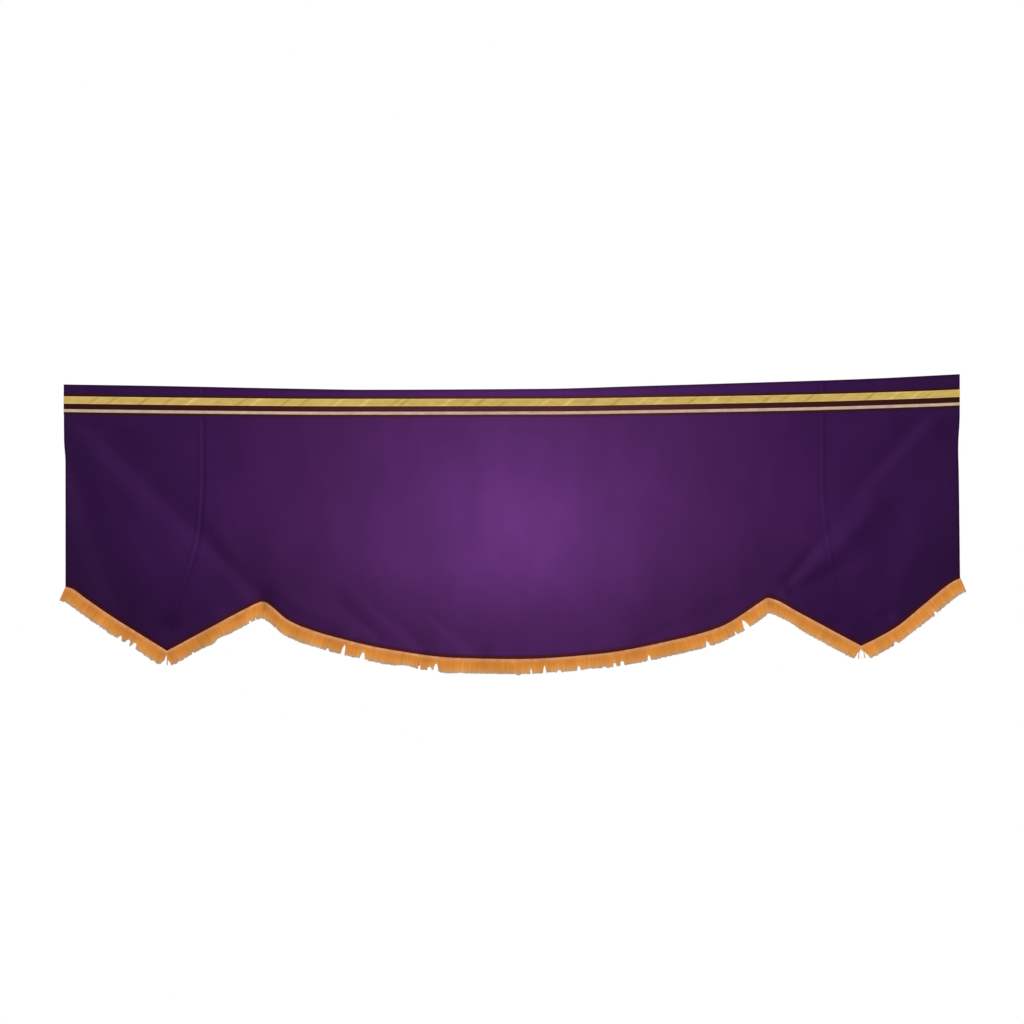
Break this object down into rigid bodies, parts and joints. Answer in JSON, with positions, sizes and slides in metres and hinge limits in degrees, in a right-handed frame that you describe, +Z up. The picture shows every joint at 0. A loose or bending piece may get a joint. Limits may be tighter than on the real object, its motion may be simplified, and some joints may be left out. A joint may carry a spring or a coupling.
{
  "type": "parade banner",
  "caption": "Wide hung cloth banner with ribbon bands along the top and a pointed, rounded hem edged with bullion fringe.",
  "frame": {"origin": "middle of the top edge, at half the thickness of the cloth", "axes": "+X along the width, to the viewer's right; the face looks towards -Y; +Z up"},
  "size_m": [3.0814, 0.0301, 1.0206],
  "materials": {
    "cloth": "purple satin-backed cloth with a soft sheen",
    "maroon_tape": "dark maroon woven tape",
    "gold_ribbon": "gold satin ribbon",
    "cream_ribbon": "pinkish cream ribbon",
    "fringe": "golden orange rayon fringe"
  },
  "bodies": {
    "root": {"panel_left": "cloth", "panel_centre": "cloth", "panel_right": "cloth", "trim_tape": "maroon_tape", "ribbon_gold": "gold_ribbon", "ribbon_cream": "cream_ribbon", "hem_edging": "maroon_tape", "fringe_left_outer": "fringe", "fringe_left_inner": "fringe", "fringe_centre": "fringe", "fringe_right_inner": "fringe", "fringe_right_outer": "fringe"}
  },
  "joints": []
}
